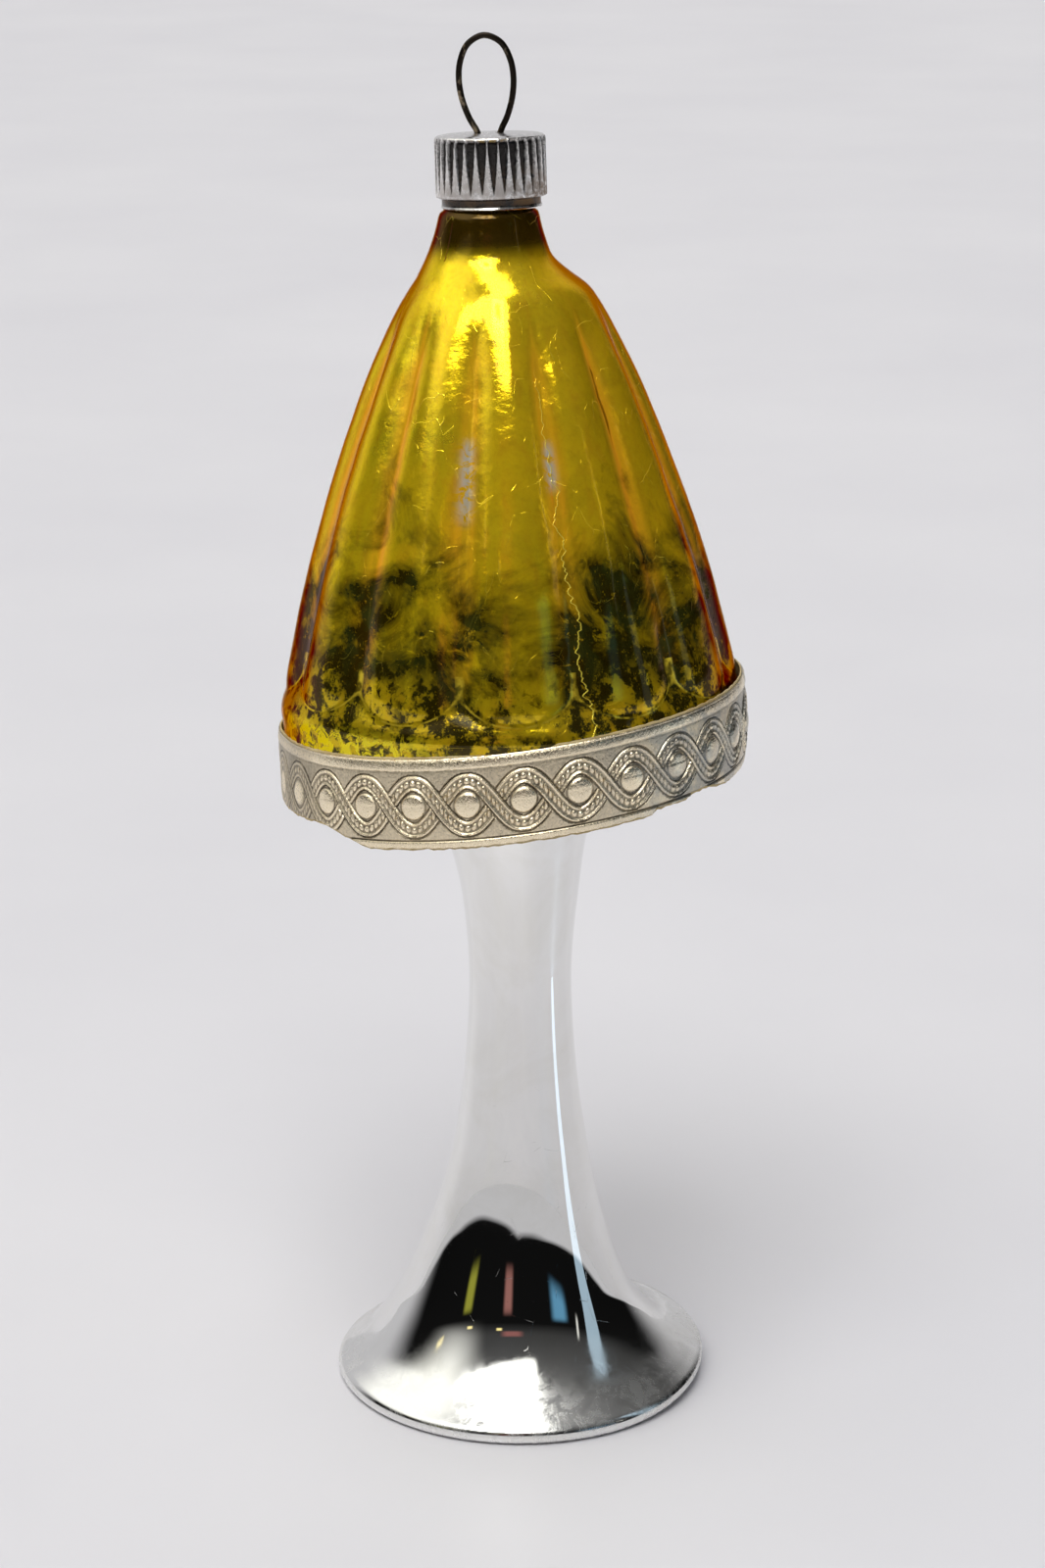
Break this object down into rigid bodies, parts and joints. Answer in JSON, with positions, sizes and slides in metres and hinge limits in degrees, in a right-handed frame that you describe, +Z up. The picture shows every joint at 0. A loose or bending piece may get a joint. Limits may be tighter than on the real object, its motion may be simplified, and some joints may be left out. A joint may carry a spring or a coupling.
{
  "type": "blown-glass table-lamp hanging ornament",
  "caption": "Silvered glass hanging ornament shaped like a small table lamp: trumpet stem and foot, lobed gold shade, foil trim, crimped cap and wire loop.",
  "frame": {"origin": "the point on the resting plane under the middle of the foot, which is also under the middle of the object's box to within a millimetre", "axes": "+Z up along the stem, +X to the right and -Y towards the viewer, with the trim's lap at +Y"},
  "size_m": [0.051, 0.0522, 0.1489],
  "materials": {
    "silvered_glass": "clear glass silvered inside, mirror bright",
    "gold_lacquered_glass": "transparent yellow-gold lacquer over silvered glass, worn in the valleys",
    "backing_paper": "matt cream paper",
    "embossed_foil": "satin champagne-silver foil, embossed and a little tarnished",
    "cap_metal": "bright thin sheet, crimped, brown tarnish near the hem",
    "spring_wire": "dark spring steel with worn bright patches"
  },
  "bodies": {
    "glass": {"stem_and_foot": "silvered_glass", "shade": "gold_lacquered_glass", "trim_backing_paper": "backing_paper", "trim_embossed_foil": "embossed_foil"},
    "cap": {"crimped_cap": "cap_metal"},
    "hanger": {"hanger_wire": "spring_wire"}
  },
  "joints": [
    {"name": "cap_lift", "type": "slide", "parent": "glass", "child": "cap", "axis": [0.0073, 0.0732, 0.9973], "range_m": [0, 0.018]},
    {"name": "hanger_rock", "type": "hinge", "parent": "cap", "child": "hanger", "pos_m": [-0.00323, 0.00511, 0.13857], "axis": [0.9996, 0.0022, 0.0296], "range_deg": [-6, 6]}
  ]
}
